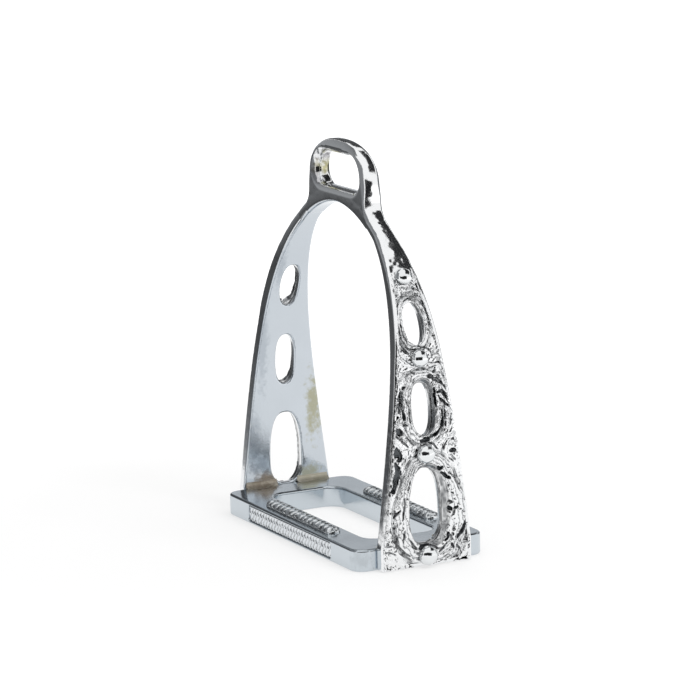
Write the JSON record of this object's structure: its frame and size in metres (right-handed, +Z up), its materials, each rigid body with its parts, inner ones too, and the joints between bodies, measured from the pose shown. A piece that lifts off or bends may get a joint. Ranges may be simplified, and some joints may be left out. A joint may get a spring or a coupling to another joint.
{
  "type": "riding stirrup",
  "caption": "Metal riding stirrup with a fixed strap eye, a pierced and ornamented arch set with dome studs, and an open tread with ribbed grip bars.",
  "frame": {"origin": "under the middle of the tread, on the ground it stands on", "axes": "+X along the tread from the left arm to the right arm, +Y from the front to the rear, +Z up through the strap eye"},
  "size_m": [0.1414, 0.06, 0.1674],
  "materials": {
    "polished_chrome": "polished chrome plate, mirror-like on the edges, slightly satin on the inner faces",
    "satin_chrome": "chrome plate over a lightly brushed surface",
    "bright_relief": "bright chrome plate over cast relief, with dark recesses",
    "ribbed_chrome": "chrome plate over coarse cross ribs, worn and dull between them",
    "braze": "thinly plated braze with straw and brown heat tint"
  },
  "bodies": {
    "root": {"bow": "polished_chrome", "tread_frame": "satin_chrome", "front_grip": "ribbed_chrome", "rear_grip": "ribbed_chrome", "front_frieze": "bright_relief", "rear_frieze": "bright_relief", "left_plate": "bright_relief", "right_plate": "bright_relief", "left_stud_1": "bright_relief", "left_stud_2": "bright_relief", "left_stud_3": "bright_relief", "left_stud_4": "bright_relief", "right_stud_1": "bright_relief", "right_stud_2": "bright_relief", "right_stud_3": "bright_relief", "right_stud_4": "bright_relief", "left_front_braze": "braze", "left_rear_braze": "braze", "right_front_braze": "braze", "right_rear_braze": "braze"}
  },
  "joints": []
}
